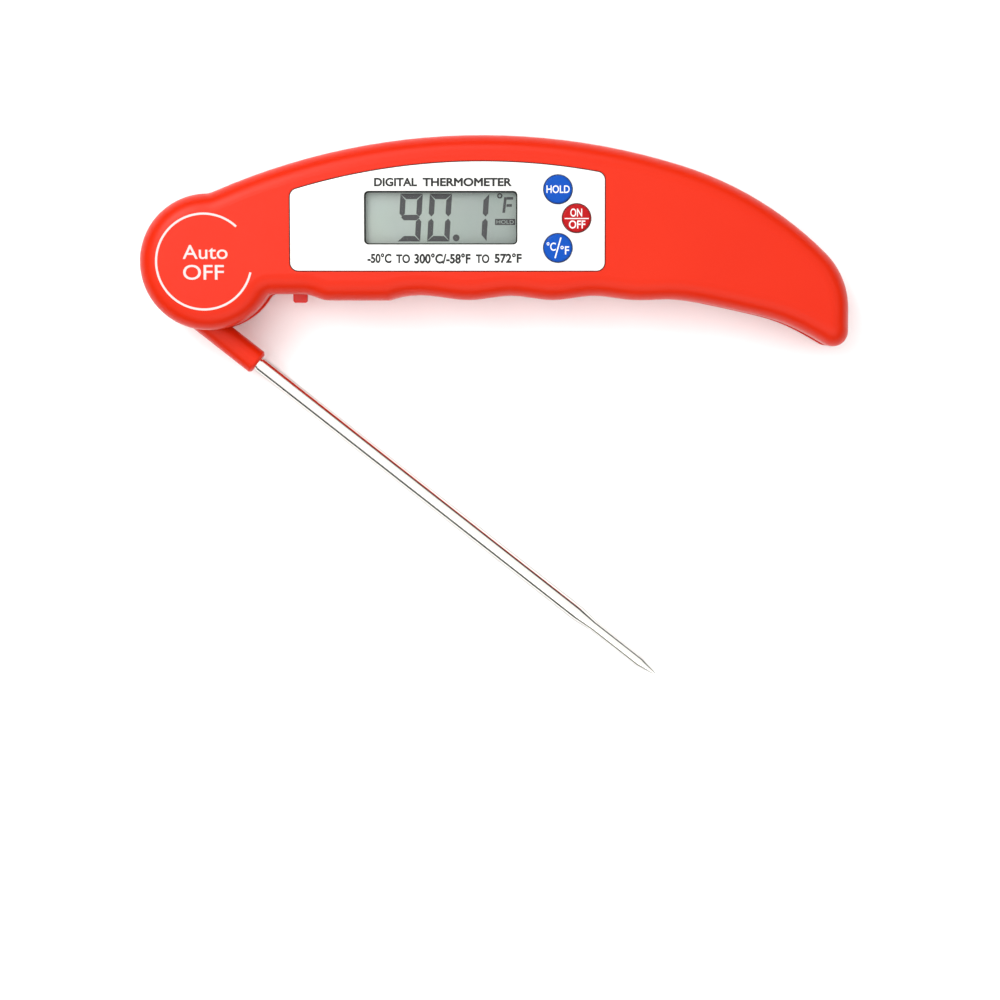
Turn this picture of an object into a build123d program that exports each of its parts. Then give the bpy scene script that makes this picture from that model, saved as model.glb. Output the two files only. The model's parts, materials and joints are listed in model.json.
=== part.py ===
from build123d import *
import math
import os

# A folding meat thermometer: a flat handle with a display and three keys, and a
# steel probe that swings about a pivot in the handle's round end.
# Millimetres. Origin on the pivot axis at the flat back, +X to the tail,
# +Y to the arched edge, +Z out of the display.

# ---- handle, overall ----
pivot_r = 15.1  # round end
length = 157.2  # round end to tail
thickness = 20.0
parting = 10.5  # height of the joint between the two shells
wall = 1.8
front_wall = 2.0
back_wall = 2.0
face_round = 4.5  # rounding of the front edge
back_round = 2.5  # rounding of the back edge
seam = 0.25  # chamfer on both shells where they meet
tail_x = length - pivot_r

# ---- handle, outline ----
arch_x = 60.8
arch_y = 27.9
arch_foot = 14.9
shoulder = (tail_x - 37.1, 21.2)
cheek = (tail_x - 5.1, 1.9)
nose_y = -10.4
heel_y = -21.4
heel_r = 3.3
belly_y = -7.14  # straight edge beside the round end
grip_y = -8.56  # start of the finger waves
grip_x = 40.0
wave_x = 49.2
wave_half = 9.1
wave_count = 6
wave_high = -7.5
wave_low = -8.45

# ---- pivot and arm ----
hub_low = 4.6
hub_high = 10.4
hub_gap = 0.1  # hub faces to the shells
hub_r = pivot_r - 0.9
hub_clear = 0.5
probe_z = (hub_low + hub_high) / 2
rest_angle = -38.2  # probe direction, degrees from +X
probe_offset = 11.5  # probe axis to pivot axis
barrel_clear = 0.05  # barrel inside the hub's faces
barrel_r = (hub_high - hub_low) / 2 - barrel_clear
barrel_end = 22.0  # along the probe, from the foot of the pivot
trunnion_r = 4.0
trunnion_bore = 2.6
trunnion_fit = 0.05  # radial clearance of the pivot
web = 2.0  # plate of the front shell that carries the pivot
cup = 2.0  # depth of the socket in the rear shell
washer_r = 9.0
washer_t = 0.6
washer_play = 0.02  # under the hub
seal_r = 0.5
clip_t = 0.6
clip_depth = 0.5  # groove in the trunnion
clip_out = 1.6

# ---- probe ----
tube_r = 1.75
tube_bore = tube_r - 0.5
root_r = tube_r - 0.25  # the end that is bonded into the barrel
root_out = 0.5  # how far that end stands out of the barrel
tip_r = 1.25
tip_bore = 0.85
taper_start = 114.0
taper_end = 118.5
point_start = 132.2
probe_end = 136.5
lead_r = 0.6

# ---- slot for the probe ----
slot_top = -9.2
slot_end = 3.6  # from the tail
slot_start = 42.0  # from the tail
slot_floor = 4.5
slot_wall = 1.8

# ---- face ----
plate_x0 = 18.6
plate_x1 = 87.8
plate_y0 = -2.0
plate_margin = 6.0  # from the arched edge
plate_t = 0.7
plate_r = 1.8
plate_gap = 0.2
window_x = 51.75
window_y = 9.6
window_w = 33.7
window_h = 11.7
window_r = 0.95
lens_t = 1.0
lens_lap = 1.2  # lens beyond the window, all round
lcd_t = 2.0
lcd_lap = 1.7
frame_t = 1.0

# ---- keys ----
key_r = 3.1
key_gap = 0.15
key_proud = 0.7
key_round = 0.5
key_travel = 0.5
key_places = {"hold_key": (77.5, 15.8), "power_key": (81.6, 9.5), "units_key": (77.5, 3.0)}
flange_r = 3.6
flange_t = 0.8
stem_r = 1.6
switch_w = 4.5
switch_h = 1.2
nub_r = 1.0
nub_h = 0.3
free_play = 0.1

# ---- circuit board ----
board_top = 13.6
board_t = 1.2
board_x0 = 32.5
board_x1 = 87.5
board_y0 = -4.6
board_y1 = 18.6
tongue_x0 = pivot_r + 2.1
tongue_y0 = -0.9
tongue_y1 = 9.0

# ---- battery ----
cell_r = 10.0
cell_t = 3.2
cell_x = 95.0 + cell_r
cell_y = 5.5
cell_low = 3.0
door_r = cell_r + 1.5
door_t = 1.2
door_gap = 0.15
mouth_r = cell_r + 0.5
plug_r = cell_r - 0.4
lug_r = cell_r + 1.2
lug_t = 0.8
cell_wall = 1.4
door_play = 0.05  # door to the floor plane, and lugs to the cell

# ---- fasteners ----
screw_places = [(23.0, 15.0), (29.0, -3.9), (91.0, -3.9), (92.6, 17.4), (127.5, 1.5)]
screw_r = 1.0
head_r = 1.9
head_t = 1.3
screw_len = 11.0
boss_r = 2.8
head_depth = 2.6  # how deep the heads sit in the back
board_screw_places = [(35.0, -2.6), (86.0, -3.0), (85.8, 17.0)]
board_screw_r = 0.7
board_screw_len = 3.4
rest_gap = 1.6  # board's back to the rests in the rear shell
post_r = 1.5

# ---- auto-off plunger ----
plunger_x = pivot_r + 4.75
plunger_w = 3.1
plunger_h = 3.0
plunger_out = 1.95  # beyond the straight edge
plunger_travel = 1.2
plunger_gap = 0.15
plunger_in = 4.3  # behind the straight edge
collar_t = 0.8
collar_lap = 0.9

probe_dir = Vector(math.cos(math.radians(rest_angle)), math.sin(math.radians(rest_angle)), 0)
probe_side = Vector(-probe_dir.Y, probe_dir.X, 0)
foot = probe_side * -probe_offset + Vector(0, 0, probe_z)
probe_plane = Plane(origin=foot, x_dir=probe_dir, z_dir=(0, 0, 1))
probe_axis = Axis(foot, probe_dir)
web_low = parting
web_high = parting + web
front_inside = thickness - front_wall

os.makedirs("parts", exist_ok=True)


def save(name, shape):
    shape.label = name
    export_step(shape, f"parts/{name}.step")


def corner(sketch, x, y):
    """The sketch's vertex nearest to a point."""
    return sketch.vertices().sort_by_distance((x, y, 0))[0]


# The handle's outline: a disc, an arched edge, a nose, and a waved grip.
waves = [(wave_x + i * wave_half, wave_low if i % 2 else wave_high) for i in range(wave_count)]
tail = [
    (tail_x - 39.5, -8.3),
    (tail_x - 32.5, -9.1),
    (tail_x - 23.5, -11.0),
    (tail_x - 14.5, -13.4),
    (tail_x - 7.1, -17.0),
]
with BuildSketch() as outline:
    Circle(pivot_r)
    with BuildLine():
        arch = ThreePointArc((0, arch_foot), (arch_x, arch_y), shoulder)
        back_arc = TangentArc(arch @ 1, cheek, tangent=arch % 1)
        nose = TangentArc(back_arc @ 1, (tail_x, nose_y), tangent=back_arc % 1)
        Line(nose @ 1, (tail_x, heel_y))
        Spline((grip_x, grip_y), *waves, *tail, (tail_x, heel_y))
        Polyline((grip_x, grip_y), (26, grip_y), (22, belly_y), (0, belly_y), (0, arch_foot))
    make_face()
    fillet([corner(outline, 26, grip_y), corner(outline, 22, belly_y)], 6)
    fillet(corner(outline, 0.4, pivot_r), 5)
    fillet(corner(outline, math.sqrt(pivot_r**2 - belly_y**2), belly_y), 1.5)
    fillet(corner(outline, tail_x, heel_y), heel_r)


def inside(edge, inset):
    """An arc that runs inside one of the outline's arcs."""
    points = []
    for t in (0, 0.5, 1):
        along = edge % t
        points.append(edge @ t + Vector(along.Y, -along.X) * inset)
    return ThreePointArc(*points)


def hollow(inset):
    """The outline with a wall all round, without the finger waves."""
    with BuildSketch() as sketch:
        Circle(pivot_r - inset)
        with BuildLine():
            start = inside(arch, inset)
            inside(back_arc, inset)
            end = inside(nose, inset)
            lower = [(x, y + 1.2 * inset) for x, y in reversed(tail)]
            Polyline(
                end @ 1,
                (tail_x - inset, lower[0][1] - 1.0),
                *lower,
                (26, wave_high + inset),
                (22, belly_y + inset),
                (0, belly_y + inset),
                start @ 0,
            )
        make_face()
    return sketch.sketch


inner = hollow(wall)
inner_top = hollow((wall + face_round) / 2)

with BuildSketch() as plate_outline:
    with Locations(((plate_x0 + plate_x1) / 2, plate_y0)):
        Rectangle(plate_x1 - plate_x0, 60, align=(Align.CENTER, Align.MIN))
    with Locations(arch.arc_center):
        Circle(arch.radius - plate_margin, mode=Mode.INTERSECT)
    fillet(plate_outline.vertices(), plate_r)


def window(sketch_margin, radius):
    """The display window with a margin all round, drawn in the open sketch."""
    with Locations((window_x, window_y)):
        RectangleRounded(window_w + 2 * sketch_margin, window_h + 2 * sketch_margin, radius)


def key_circles(radius, mode=Mode.ADD):
    with Locations(*key_places.values()):
        Circle(radius, mode=mode)


# ---- front shell ----
with BuildPart() as front_shell:
    with BuildSketch(Plane.XY.offset(parting)):
        add(outline.sketch)
    extrude(amount=thickness - parting)
    fillet(front_shell.faces().sort_by(Axis.Z)[-1].outer_wire().edges(), face_round)
    chamfer(front_shell.faces().sort_by(Axis.Z)[0].outer_wire().edges(), seam)
    # hollow, narrower near the rounded front edge
    with BuildSketch(Plane.XY.offset(parting)):
        add(inner)
    extrude(amount=front_inside - face_round / 2 - parting, mode=Mode.SUBTRACT)
    with BuildSketch(Plane.XY.offset(parting)):
        add(inner_top)
    extrude(amount=front_inside - parting, mode=Mode.SUBTRACT)
    # web that carries the pivot
    with BuildSketch(Plane.XY.offset(web_low)):
        add(inner)
        Circle(pivot_r + wall, mode=Mode.INTERSECT)
        Circle(trunnion_r + trunnion_fit, mode=Mode.SUBTRACT)
    extrude(amount=web)
    # ceiling of the probe slot, with a lip up to its inner wall
    with BuildSketch(Plane.XY.offset(parting)):
        add(inner)
        with Locations((tail_x - slot_start, slot_top + slot_wall)):
            Rectangle(slot_start, 40, align=(Align.MIN, Align.MAX), mode=Mode.INTERSECT)
    extrude(amount=slot_wall)
    # posts for the case screws, and pins for the board's screws
    with BuildSketch(Plane.XY.offset(parting)):
        with Locations(*screw_places):
            Circle(boss_r)
        add(inner, mode=Mode.INTERSECT)
    extrude(amount=front_inside - parting)
    with BuildSketch(Plane.XY.offset(board_top)):
        with Locations(*board_screw_places):
            Circle(post_r)
    extrude(amount=front_inside - board_top)
    with Locations(*[(x, y, parting) for x, y in screw_places]):
        Cylinder(
            screw_r,
            head_depth + screw_len - parting,
            align=(Align.CENTER, Align.CENTER, Align.MIN),
            mode=Mode.SUBTRACT,
        )
    with Locations(*[(x, y, board_top) for x, y in board_screw_places]):
        Cylinder(
            board_screw_r,
            board_screw_len - board_t,
            align=(Align.CENTER, Align.CENTER, Align.MIN),
            mode=Mode.SUBTRACT,
        )
    # recess for the faceplate, seat for the lens, window and key holes
    with BuildSketch(Plane.XY.offset(thickness - plate_t)):
        add(plate_outline.sketch)
        offset(amount=plate_gap)
    extrude(amount=plate_t, mode=Mode.SUBTRACT)
    with BuildSketch(Plane.XY.offset(thickness - plate_t - lens_t)):
        window(lens_lap + plate_gap, window_r)
    extrude(amount=lens_t, mode=Mode.SUBTRACT)
    with BuildSketch(Plane.XY.offset(front_inside)):
        window(lens_lap / 2, window_r)
        key_circles(key_r + key_gap)
    extrude(amount=front_wall, mode=Mode.SUBTRACT)
    # room for the flanges of the keys
    with BuildSketch(Plane.XY.offset(front_inside)):
        key_circles(flange_r + key_gap)
    extrude(amount=key_gap, mode=Mode.SUBTRACT)
save("front_shell", front_shell.part)

# ---- rear shell ----
pocket_r = pivot_r + hub_clear
with BuildPart() as rear_shell:
    with BuildSketch():
        add(outline.sketch)
    extrude(amount=parting)
    fillet(rear_shell.faces().sort_by(Axis.Z)[0].outer_wire().edges(), back_round)
    chamfer(rear_shell.faces().sort_by(Axis.Z)[-1].outer_wire().edges(), seam)
    # pocket for the hub, open all round the disc
    with BuildSketch(Plane.XY.offset(hub_low - hub_gap)):
        Circle(pocket_r)
    extrude(amount=parting, mode=Mode.SUBTRACT)
    # socket for the pivot, with a seat for the friction washer round it
    with Locations((0, 0, hub_low - hub_gap)):
        Cylinder(
            trunnion_r + trunnion_fit,
            cup + hub_gap,
            align=(Align.CENTER, Align.CENTER, Align.MAX),
            mode=Mode.SUBTRACT,
        )
        Cylinder(
            washer_r + 0.1,
            washer_t,
            align=(Align.CENTER, Align.CENTER, Align.MAX),
            mode=Mode.SUBTRACT,
        )
    # hollow for the electronics, with a wall round the hub's pocket
    with BuildSketch(Plane.XY.offset(back_wall)):
        add(inner)
        with Locations((tail_x / 2, slot_top + slot_wall)):
            Rectangle(2 * length, 80, align=(Align.CENTER, Align.MIN), mode=Mode.INTERSECT)
        Circle(pocket_r + wall, mode=Mode.SUBTRACT)
    extrude(amount=parting, mode=Mode.SUBTRACT)
    # slot for the probe, open at the lower edge
    with BuildSketch(Plane.XY.offset(slot_floor)):
        with Locations((tail_x - slot_start - 10, slot_top)):
            Rectangle(slot_start + 10 - slot_end, 40, align=(Align.MIN, Align.MAX))
    extrude(amount=parting, mode=Mode.SUBTRACT)
    # bosses for the case screws, and rests for the board
    with BuildSketch(Plane.XY.offset(back_wall / 2)):
        with Locations(*screw_places):
            Circle(boss_r)
        add(inner, mode=Mode.INTERSECT)
    extrude(amount=parting - back_wall / 2)
    with BuildSketch(Plane.XY.offset(back_wall / 2)):
        with Locations(*[(x, y) for x, y in board_screw_places]):
            Circle(post_r)
    extrude(amount=board_top - board_t - rest_gap - back_wall / 2)
    # wall round the cell
    with BuildSketch(Plane.XY.offset(back_wall)):
        with Locations((cell_x, cell_y)):
            Circle(lug_r + door_gap + cell_wall)
        add(inner, mode=Mode.INTERSECT)
        with Locations((cell_x, cell_y)):
            Circle(lug_r + door_gap, mode=Mode.SUBTRACT)
    extrude(amount=cell_low + cell_t - back_wall)
    # battery mouth: counterbore for the door, ledge, and three notches for its lugs
    with Locations((cell_x, cell_y, 0)):
        Cylinder(
            door_r + door_gap,
            door_t,
            align=(Align.CENTER, Align.CENTER, Align.MIN),
            mode=Mode.SUBTRACT,
        )
        Cylinder(
            mouth_r, back_wall, align=(Align.CENTER, Align.CENTER, Align.MIN), mode=Mode.SUBTRACT
        )
    with BuildSketch():
        with Locations((cell_x, cell_y)):
            with PolarLocations((mouth_r + lug_r) / 2 - 0.3, 3, start_angle=60):
                Rectangle(lug_r - mouth_r + 1.0, 5.0)
    extrude(amount=back_wall, mode=Mode.SUBTRACT)
    # screw holes from the back
    with Locations(*[(x, y, 0) for x, y in screw_places]):
        Cylinder(
            screw_r + 0.15,
            parting,
            align=(Align.CENTER, Align.CENTER, Align.MIN),
            mode=Mode.SUBTRACT,
        )
        Cylinder(
            head_r + 0.25,
            head_depth,
            align=(Align.CENTER, Align.CENTER, Align.MIN),
            mode=Mode.SUBTRACT,
        )
    # hole for the auto-off plunger
    with Locations((plunger_x, belly_y - 1, probe_z)):
        Box(
            plunger_w + 2 * plunger_gap,
            wall + 3,
            plunger_h + 2 * plunger_gap,
            align=(Align.CENTER, Align.MIN, Align.CENTER),
            mode=Mode.SUBTRACT,
        )
save("rear_shell", rear_shell.part)

# ---- faceplate ----
with BuildPart() as faceplate:
    with BuildSketch(Plane.XY.offset(thickness - plate_t)):
        add(plate_outline.sketch)
        with Locations((window_x, window_y)):
            RectangleRounded(window_w, window_h, window_r, mode=Mode.SUBTRACT)
        key_circles(key_r + key_gap, mode=Mode.SUBTRACT)
    extrude(amount=plate_t)
save("faceplate", faceplate.part)

# ---- display ----
lens_low = thickness - plate_t - lens_t
with BuildPart() as display_window:
    with BuildSketch(Plane.XY.offset(lens_low)):
        window(lens_lap, window_r)
    extrude(amount=lens_t)
save("display_window", display_window.part)

lcd_top = front_inside - 0.1
with BuildPart() as lcd_panel:
    with BuildSketch(Plane.XY.offset(lcd_top)):
        window(lcd_lap, window_r / 2)
    extrude(amount=-lcd_t)
save("lcd_panel", lcd_panel.part)

with BuildPart() as lcd_frame:
    with BuildSketch(Plane.XY.offset(board_top)):
        window(lcd_lap + frame_t, window_r)
        window_cut = (window_w + 2 * lcd_lap, window_h + 2 * lcd_lap)
        with Locations((window_x, window_y)):
            Rectangle(*window_cut, mode=Mode.SUBTRACT)
    extrude(amount=lcd_top - board_top)
save("lcd_frame", lcd_frame.part)

# zebra strips that join the glass to the board
with BuildPart() as lcd_connector:
    with Locations(
        *[(window_x, window_y + s * (window_h / 2 - 0.4), board_top) for s in (-1, 1)]
    ):
        Box(
            window_w,
            2.0,
            lcd_top - lcd_t - board_top,
            align=(Align.CENTER, Align.CENTER, Align.MIN),
        )
save("lcd_connector", lcd_connector.part)

# ---- circuit board and what is on it ----
with BuildPart() as circuit_board:
    with BuildSketch(Plane.XY.offset(board_top)):
        with Locations((board_x0, board_y0)):
            Rectangle(board_x1 - board_x0, board_y1 - board_y0, align=(Align.MIN, Align.MIN))
        with Locations((tongue_x0, tongue_y0)):
            Rectangle(
                board_x0 - tongue_x0 + 1, tongue_y1 - tongue_y0, align=(Align.MIN, Align.MIN)
            )
        with Locations(*board_screw_places):
            Circle(board_screw_r + 0.1, mode=Mode.SUBTRACT)
    extrude(amount=-board_t)
save("circuit_board", circuit_board.part)

with BuildPart() as processor_blob:
    with Locations((52, 8, board_top - board_t)):
        Cylinder(4.5, 1.4, align=(Align.CENTER, Align.CENTER, Align.MAX))
    fillet(processor_blob.edges().sort_by(Axis.Z)[0], 1.1)
save("processor_blob", processor_blob.part)

with BuildPart() as board_components:
    with Locations(
        *[(40 + 3.2 * i, -1.5 if i % 2 else 0.6, board_top - board_t) for i in range(8)]
    ):
        Box(2.0, 1.25, 0.8, align=(Align.CENTER, Align.CENTER, Align.MAX))
    with Locations((66, 12, board_top - board_t)):
        Box(7.0, 3.2, 2.4, align=(Align.CENTER, Align.CENTER, Align.MAX))
save("board_components", board_components.part)

stem_low = board_top + switch_h + nub_h + key_travel + free_play
with BuildPart() as key_switches:
    with Locations(*[(x, y, board_top) for x, y in key_places.values()]):
        Box(switch_w, switch_w, switch_h, align=(Align.CENTER, Align.CENTER, Align.MIN))
    with Locations(*[(x, y, board_top + switch_h) for x, y in key_places.values()]):
        Cylinder(nub_r, nub_h, align=(Align.CENTER, Align.CENTER, Align.MIN))
save("key_switches", key_switches.part)

# ---- keys: a domed cap, a flange under the front wall, and a stem ----
key_top = thickness + key_proud
for key_name, (key_x, key_y) in key_places.items():
    with BuildPart() as key:
        with Locations((key_x, key_y, front_inside)):
            Cylinder(
                key_r,
                key_top - front_inside,
                align=(Align.CENTER, Align.CENTER, Align.MIN),
            )
        fillet(key.edges().sort_by(Axis.Z)[-1], key_round)
        with Locations((key_x, key_y, front_inside)):
            Cylinder(flange_r, flange_t, align=(Align.CENTER, Align.CENTER, Align.MAX))
        with Locations((key_x, key_y, stem_low)):
            Cylinder(
                stem_r,
                front_inside - stem_low,
                align=(Align.CENTER, Align.CENTER, Align.MIN),
            )
    save(key_name, key.part)

# ---- battery, contacts, door ----
with BuildPart() as battery_cell:
    with Locations((cell_x, cell_y, cell_low)):
        Cylinder(cell_r, cell_t, align=(Align.CENTER, Align.CENTER, Align.MIN))
    fillet(battery_cell.edges().sort_by(Axis.Z)[-1], 0.3)
save("battery_cell", battery_cell.part)

cell_top = cell_low + cell_t
leaf = 0.3
board_low = board_top - board_t
# a leaf that presses on the cell's top and stands up beside the board's edge
with BuildPart() as negative_contact:
    with BuildSketch(Plane.XZ.offset(-cell_y)):
        with BuildLine():
            FilletPolyline(
                (cell_x + 2, cell_top + leaf / 2),
                (cell_x - cell_r + 1.0, cell_top + leaf / 2),
                (board_x1 + 3, cell_top + 2.4),
                (board_x1 - 2, cell_top + 2.4),
                (board_x1 - 2, board_low),
                radius=0.9,
            )
        trace(line_width=leaf)
    extrude(amount=2.0, both=True)
save("negative_contact", negative_contact.part)

# a leaf that presses on the cell's rim
with BuildPart() as positive_contact:
    with BuildSketch(Plane.XZ.offset(-cell_y - 4.5)):
        with BuildLine():
            FilletPolyline(
                (board_x1 - 1.5, board_low),
                (board_x1 - 1.5, cell_top + 3.2),
                (cell_x - cell_r + 2.0, cell_top + 3.2),
                (cell_x - cell_r + 2.0, cell_top),
                radius=0.9,
            )
        trace(line_width=leaf)
    extrude(amount=1.0, both=True)
save("positive_contact", positive_contact.part)

with BuildPart() as battery_door:
    with Locations((cell_x, cell_y, door_play)):
        Cylinder(door_r, door_t - door_play, align=(Align.CENTER, Align.CENTER, Align.MIN))
    chamfer(battery_door.edges().sort_by(Axis.Z)[0], 0.3)
    with Locations((cell_x, cell_y, door_t)):
        Cylinder(
            plug_r, cell_low - door_t - door_play, align=(Align.CENTER, Align.CENTER, Align.MIN)
        )
    # three lugs over the ledge
    with BuildSketch(Plane.XY.offset(cell_low - door_play)):
        with Locations((cell_x, cell_y)):
            with PolarLocations((plug_r + lug_r) / 2 - 0.4, 3, start_angle=0):
                Rectangle(lug_r - plug_r + 0.6, 4.4)
    extrude(amount=-lug_t)
    # coin slot
    with Locations((cell_x, cell_y, 0)):
        Box(13, 1.8, 0.8, align=(Align.CENTER, Align.CENTER, Align.MIN), mode=Mode.SUBTRACT)
save("battery_door", battery_door.part)

with BuildPart() as battery_door_seal:
    with BuildSketch(Plane.XY.offset(door_t)):
        with Locations((cell_x, cell_y)):
            Circle(mouth_r - 0.05)
            Circle(plug_r, mode=Mode.SUBTRACT)
    extrude(amount=0.7)
save("battery_door_seal", battery_door_seal.part)

# ---- fasteners ----
with BuildPart() as case_screws:
    with Locations(*[(x, y, head_depth) for x, y in screw_places]):
        Cylinder(head_r, head_t, align=(Align.CENTER, Align.CENTER, Align.MAX))
        Cylinder(screw_r, screw_len, align=(Align.CENTER, Align.CENTER, Align.MIN))
    with Locations(*[(x, y, head_depth - head_t) for x, y in screw_places]):
        Box(2.2, 0.5, 0.6, align=(Align.CENTER, Align.CENTER, Align.MIN), mode=Mode.SUBTRACT)
        Box(0.5, 2.2, 0.6, align=(Align.CENTER, Align.CENTER, Align.MIN), mode=Mode.SUBTRACT)
save("case_screws", case_screws.part)

with BuildPart() as board_screws:
    with Locations(*[(x, y, board_low) for x, y in board_screw_places]):
        Cylinder(post_r, 0.9, align=(Align.CENTER, Align.CENTER, Align.MAX))
        Cylinder(board_screw_r, board_screw_len, align=(Align.CENTER, Align.CENTER, Align.MIN))
save("board_screws", board_screws.part)

# ---- auto-off plunger and switch ----
plunger_tip = belly_y - plunger_out
plunger_back = belly_y + plunger_in
with BuildPart() as auto_off_plunger:
    with Locations((plunger_x, plunger_tip, probe_z)):
        Box(
            plunger_w,
            plunger_back - plunger_tip,
            plunger_h,
            align=(Align.CENTER, Align.MIN, Align.CENTER),
        )
    fillet(auto_off_plunger.faces().sort_by(Axis.Y)[0].edges(), 0.6)
    with Locations((plunger_x, belly_y + wall + 0.05, probe_z)):
        Box(
            plunger_w + 2 * collar_lap,
            collar_t,
            plunger_h,
            align=(Align.CENTER, Align.MIN, Align.CENTER),
        )
save("auto_off_plunger", auto_off_plunger.part)

nub_y = plunger_back + plunger_travel + free_play
with BuildPart() as auto_off_switch:
    with Locations((plunger_x, nub_y + 0.4, board_low)):
        Box(
            switch_w,
            3.2,
            board_low - probe_z + 2.2,
            align=(Align.CENTER, Align.MIN, Align.MAX),
        )
    with BuildSketch(Plane.XZ.offset(-nub_y)):
        with Locations((plunger_x, probe_z)):
            Circle(nub_r)
    extrude(amount=-0.4)
save("auto_off_switch", auto_off_switch.part)

# ---- pivot: washer, seal, retaining clip ----
with BuildPart() as friction_washer:
    with BuildSketch(Plane.XY.offset(hub_low - washer_play)):
        Circle(washer_r)
        Circle(trunnion_r + 0.6, mode=Mode.SUBTRACT)
    extrude(amount=-(washer_t + hub_gap - washer_play))
save("friction_washer", friction_washer.part)

with BuildPart() as pivot_seal:
    with Locations((0, 0, web_high + seal_r)):
        Torus(trunnion_r + 0.03 + seal_r, seal_r)
save("pivot_seal", pivot_seal.part)

clip_low = web_high + 2 * seal_r + 0.1
trunnion_top = clip_low + clip_t + 0.5
with BuildPart() as pivot_clip:
    with BuildSketch(Plane.XY.offset(clip_low)):
        Circle(trunnion_r + clip_out)
        Circle(trunnion_r - clip_depth, mode=Mode.SUBTRACT)
        Rectangle(2.2, 20, align=(Align.CENTER, Align.MAX), mode=Mode.SUBTRACT)
    extrude(amount=clip_t)
save("pivot_clip", pivot_clip.part)

# ---- probe arm: hub with a hollow trunnion, and the barrel that holds the tube ----
cavity_r = 8.2
seat_r = 9.6
cover_t = 1.2
with BuildPart() as probe_arm:
    with Locations((0, 0, hub_low)):
        Cylinder(hub_r, hub_high - hub_low, align=(Align.CENTER, Align.CENTER, Align.MIN))
        Cylinder(trunnion_r, trunnion_top - hub_low, align=(Align.CENTER, Align.CENTER, Align.MIN))
    with BuildSketch(probe_plane):
        with BuildLine():
            Polyline(
                (0, 0),
                (0, barrel_r),
                (barrel_end - 0.5, barrel_r),
                (barrel_end, barrel_r - 0.5),
                (barrel_end, 0),
                close=True,
            )
        make_face()
    revolve(axis=probe_axis)
    # groove for the clip
    with BuildSketch(Plane.XY.offset(clip_low)):
        Circle(trunnion_r + 1)
        Circle(trunnion_r - clip_depth, mode=Mode.SUBTRACT)
    extrude(amount=clip_t, mode=Mode.SUBTRACT)
    # hollow trunnion, cavity for the lead, seat for the cover
    with Locations((0, 0, hub_low)):
        Cylinder(
            trunnion_bore,
            trunnion_top - hub_low,
            align=(Align.CENTER, Align.CENTER, Align.MIN),
            mode=Mode.SUBTRACT,
        )
        Cylinder(
            cavity_r,
            hub_high - hub_low - 1.2,
            align=(Align.CENTER, Align.CENTER, Align.MIN),
            mode=Mode.SUBTRACT,
        )
        Cylinder(
            seat_r, cover_t, align=(Align.CENTER, Align.CENTER, Align.MIN), mode=Mode.SUBTRACT
        )
    # way from the cavity to the tube
    with BuildSketch(probe_plane):
        with Locations((0, -1.0)):
            Rectangle(2.6, probe_offset - cavity_r + 2.5, align=(Align.CENTER, Align.MIN))
    extrude(amount=1.3, both=True, mode=Mode.SUBTRACT)
    # bore for the tube, blind behind the way
    with BuildSketch(probe_plane):
        Rectangle(barrel_end + 1, root_r, align=(Align.MIN, Align.MIN))
    revolve(axis=probe_axis, mode=Mode.SUBTRACT)
save("probe_arm", probe_arm.part)

with BuildPart() as hub_cover:
    with Locations((0, 0, hub_low)):
        Cylinder(seat_r - 0.05, cover_t, align=(Align.CENTER, Align.CENTER, Align.MIN))
        Cylinder(trunnion_r, cup - hub_gap, align=(Align.CENTER, Align.CENTER, Align.MAX))
save("hub_cover", hub_cover.part)

# ---- probe tube: straight shaft, reduced tip, closed point ----
tube_start = 3.0
with BuildPart() as probe_tube:
    with BuildSketch(probe_plane):
        with BuildLine():
            Polyline(
                (probe_end - 0.9, 0),
                (tube_start, 0),
                (tube_start, root_r),
                (barrel_end + root_out, root_r),
                (barrel_end + root_out, tube_r),
                (taper_start, tube_r),
                (taper_end, tip_r),
                (point_start, tip_r),
                (probe_end - 0.1, 0.25),
                (probe_end, 0),
                (probe_end - 0.9, 0),
            )
        make_face()
        with BuildLine():
            Polyline(
                (tube_start, 0),
                (tube_start, tube_bore),
                (taper_start, tube_bore),
                (taper_end, tip_bore),
                (point_start, tip_bore),
                (point_start, 0),
                close=True,
            )
        make_face(mode=Mode.SUBTRACT)
    revolve(axis=probe_axis)
save("probe_tube", probe_tube.part)

# ---- sensor in the tip ----
bead_r = 0.7
bead_x = point_start - 1.6
lead_core = 0.4
with BuildPart() as thermistor_bead:
    with Locations(Location(foot + probe_dir * bead_x)):
        Sphere(bead_r)
save("thermistor_bead", thermistor_bead.part)

potting_start = taper_end + 1.0
with BuildPart() as tip_potting:
    with BuildSketch(probe_plane):
        with Locations((potting_start, 0)):
            Rectangle(point_start - potting_start, tip_bore, align=(Align.MIN, Align.MIN))
        with Locations((potting_start, 0)):
            Rectangle(
                bead_x - potting_start, lead_core, align=(Align.MIN, Align.MIN), mode=Mode.SUBTRACT
            )
        with Locations((bead_x, 0)):
            Circle(bead_r, mode=Mode.SUBTRACT)
    revolve(axis=probe_axis)
save("tip_potting", tip_potting.part)

# The lead runs from the bead up the tube, round the hub's cavity and up the
# pivot axis, where the handle's own lead meets it end to end.
lead_join = web_low
lead_bend = 3.0
with BuildPart() as probe_lead:
    with BuildLine() as probe_route:
        FilletPolyline(
            foot + probe_dir * potting_start,
            foot,
            Vector(0, 0, probe_z),
            Vector(0, 0, lead_join),
            radius=(lead_bend, lead_join - probe_z - 0.2),
        )
    with BuildSketch(Plane(origin=probe_route.line @ 0, z_dir=probe_route.line % 0)):
        Circle(lead_r)
    sweep()
    with BuildSketch(Plane(origin=foot + probe_dir * potting_start, z_dir=probe_dir)):
        Circle(lead_core)
    extrude(amount=bead_x - bead_r - potting_start)
save("probe_lead", probe_lead.part)

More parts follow.
